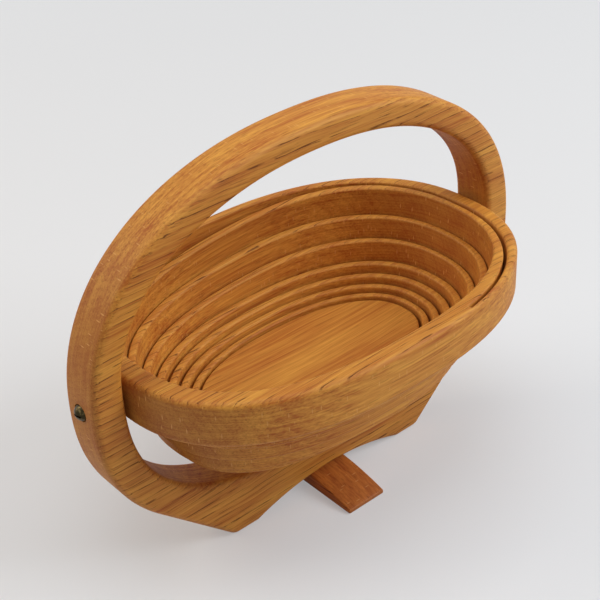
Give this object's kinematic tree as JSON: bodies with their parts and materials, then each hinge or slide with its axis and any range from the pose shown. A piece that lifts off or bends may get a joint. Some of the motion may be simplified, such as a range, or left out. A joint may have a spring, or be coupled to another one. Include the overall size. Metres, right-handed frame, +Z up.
{
  "type": "collapsible fruit basket",
  "caption": "Folding oak fruit basket: a spiral-sawn board opens into a bowl inside an oval frame that is handle and stand.",
  "frame": {"origin": "on the table, under the middle of the frame, on the axis of the foot bar's screw", "axes": "+X along the two pivots to the right-hand pivot, +Y to the far side of the basket, +Z up to the handle"},
  "size_m": [0.215, 0.1275, 0.1649],
  "materials": {
    "oak": "solid oak, sawn and sanded, oiled to a golden brown with a low sheen",
    "oak_end": "the same oak, darker and redder where it was turned out of the board",
    "antique_brass": "dark antique brass screw, worn bright on the crown"
  },
  "bodies": {
    "stand": {"frame": "oak", "foot_screw": "antique_brass"},
    "rim": {"rim": "oak", "pivot_screw_left": "antique_brass", "pivot_screw_right": "antique_brass"},
    "strip_01": {"spiral_strip_01": "oak"},
    "strip_02": {"spiral_strip_02": "oak"},
    "strip_03": {"spiral_strip_03": "oak"},
    "strip_04": {"spiral_strip_04": "oak"},
    "strip_05": {"spiral_strip_05": "oak"},
    "strip_06": {"spiral_strip_06": "oak"},
    "strip_07": {"spiral_strip_07": "oak"},
    "strip_08": {"spiral_strip_08": "oak"},
    "strip_09": {"spiral_strip_09": "oak"},
    "strip_10": {"spiral_strip_10": "oak"},
    "strip_11": {"spiral_strip_11": "oak"},
    "strip_12": {"spiral_strip_12": "oak"},
    "strip_13": {"spiral_strip_13": "oak"},
    "strip_14": {"spiral_strip_14": "oak"},
    "floor": {"basket_floor": "oak"},
    "foot": {"foot_bar": "oak_end"}
  },
  "joints": [
    {"name": "basket_fold", "type": "hinge", "parent": "stand", "child": "rim", "pos_m": [0, 0, 0.087], "axis": [1, 0, 0], "range_deg": [0, 90]},
    {"name": "strip_01_rise", "type": "slide", "parent": "rim", "child": "strip_01", "axis": [0, 0, 1], "range_m": [0, 0.000392]},
    {"name": "strip_02_rise", "type": "slide", "parent": "strip_01", "child": "strip_02", "axis": [0, 0, 1], "range_m": [0, 0.00903]},
    {"name": "strip_03_rise", "type": "slide", "parent": "strip_02", "child": "strip_03", "axis": [0, 0, 1], "range_m": [0, 0.00266]},
    {"name": "strip_04_rise", "type": "slide", "parent": "strip_03", "child": "strip_04", "axis": [0, 0, 1], "range_m": [0, 0.0069]},
    {"name": "strip_05_rise", "type": "slide", "parent": "strip_04", "child": "strip_05", "axis": [0, 0, 1], "range_m": [0, 0.0022]},
    {"name": "strip_06_rise", "type": "slide", "parent": "strip_05", "child": "strip_06", "axis": [0, 0, 1], "range_m": [0, 0.00622]},
    {"name": "strip_07_rise", "type": "slide", "parent": "strip_06", "child": "strip_07", "axis": [0, 0, 1], "range_m": [0, 0.00267]},
    {"name": "strip_08_rise", "type": "slide", "parent": "strip_07", "child": "strip_08", "axis": [0, 0, 1], "range_m": [0, 0.00284]},
    {"name": "strip_09_rise", "type": "slide", "parent": "strip_08", "child": "strip_09", "axis": [0, 0, 1], "range_m": [0, 0.000613]},
    {"name": "strip_10_rise", "type": "slide", "parent": "strip_09", "child": "strip_10", "axis": [0, 0, 1], "range_m": [0, 0.0017]},
    {"name": "strip_11_rise", "type": "slide", "parent": "strip_10", "child": "strip_11", "axis": [0, 0, 1], "range_m": [0, 0.000892]},
    {"name": "strip_12_rise", "type": "slide", "parent": "strip_11", "child": "strip_12", "axis": [0, 0, 1], "range_m": [0, 0.00104]},
    {"name": "strip_13_rise", "type": "slide", "parent": "strip_12", "child": "strip_13", "axis": [0, 0, 1], "range_m": [0, 0.000903]},
    {"name": "strip_14_rise", "type": "slide", "parent": "strip_13", "child": "strip_14", "axis": [0, 0, 1], "range_m": [0, 0.000782]},
    {"name": "floor_rise", "type": "slide", "parent": "strip_14", "child": "floor", "axis": [0, 0, 1], "range_m": [0, 0.000351]},
    {"name": "foot_swivel", "type": "hinge", "parent": "stand", "child": "foot", "pos_m": [0, 0, 0], "axis": [0, 0, 1], "range_deg": [0, 90]}
  ],
  "couplings": [
    {"joint": "strip_01_rise", "follows": "basket_fold", "m_per_rad": 0.00024955},
    {"joint": "strip_02_rise", "follows": "basket_fold", "m_per_rad": 0.0057493},
    {"joint": "strip_03_rise", "follows": "basket_fold", "m_per_rad": 0.0016909},
    {"joint": "strip_04_rise", "follows": "basket_fold", "m_per_rad": 0.0043939},
    {"joint": "strip_05_rise", "follows": "basket_fold", "m_per_rad": 0.0013993},
    {"joint": "strip_06_rise", "follows": "basket_fold", "m_per_rad": 0.003961},
    {"joint": "strip_07_rise", "follows": "basket_fold", "m_per_rad": 0.0016972},
    {"joint": "strip_08_rise", "follows": "basket_fold", "m_per_rad": 0.0018112},
    {"joint": "strip_09_rise", "follows": "basket_fold", "m_per_rad": 0.00039025},
    {"joint": "strip_10_rise", "follows": "basket_fold", "m_per_rad": 0.0010835},
    {"joint": "strip_11_rise", "follows": "basket_fold", "m_per_rad": 0.00056786},
    {"joint": "strip_12_rise", "follows": "basket_fold", "m_per_rad": 0.00066336},
    {"joint": "strip_13_rise", "follows": "basket_fold", "m_per_rad": 0.00057487},
    {"joint": "strip_14_rise", "follows": "basket_fold", "m_per_rad": 0.00049784},
    {"joint": "floor_rise", "follows": "basket_fold", "m_per_rad": 0.00022345}
  ]
}
